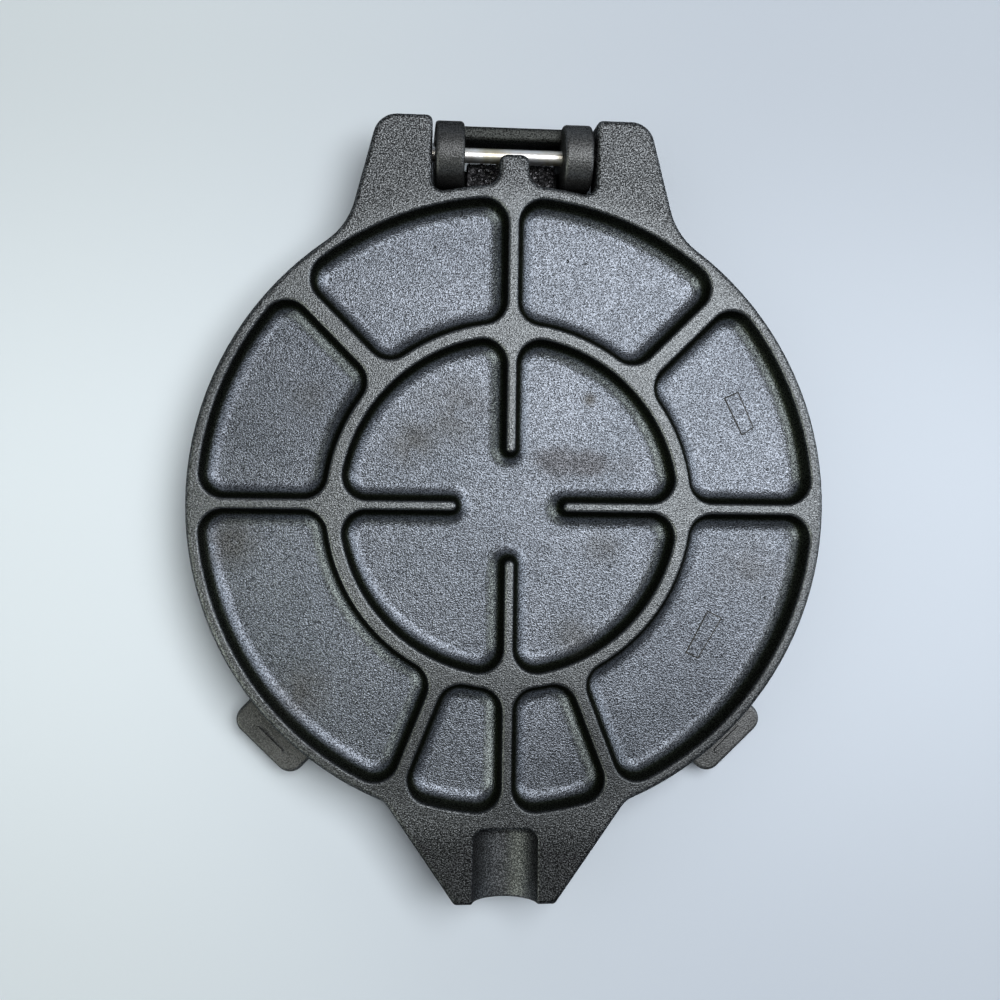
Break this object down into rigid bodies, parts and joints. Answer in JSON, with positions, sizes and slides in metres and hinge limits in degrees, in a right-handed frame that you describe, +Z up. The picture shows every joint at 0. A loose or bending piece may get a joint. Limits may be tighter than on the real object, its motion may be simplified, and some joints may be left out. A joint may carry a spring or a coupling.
{
  "type": "tortilla press",
  "caption": "Flat hand press of ribbed cast iron: a round lid hinged at the back on a steel pin over a footed base, with a pointed nose to lift it by.",
  "frame": {"origin": "on the table, under the middle of the closed press's bounding box", "axes": "+X to the right seen from the front, parallel to the hinge pin; +Y towards the hinge; +Z up from the table"},
  "size_m": [0.2032, 0.25, 0.0328],
  "materials": {
    "base_iron": "seasoned, fine sand-cast grain, satin",
    "lid_iron": "seasoned, fine sand-cast grain, satin",
    "pin_steel": "bright drawn rod"
  },
  "bodies": {
    "base": {"base_plate": "base_iron"},
    "lid": {"top_plate": "lid_iron", "hinge_pin": "pin_steel"}
  },
  "joints": [
    {"name": "lid_hinge", "type": "hinge", "parent": "base", "child": "lid", "pos_m": [0, 0.1142, 0.0223], "axis": [-1, 0, 0], "range_deg": [0, 100]}
  ]
}
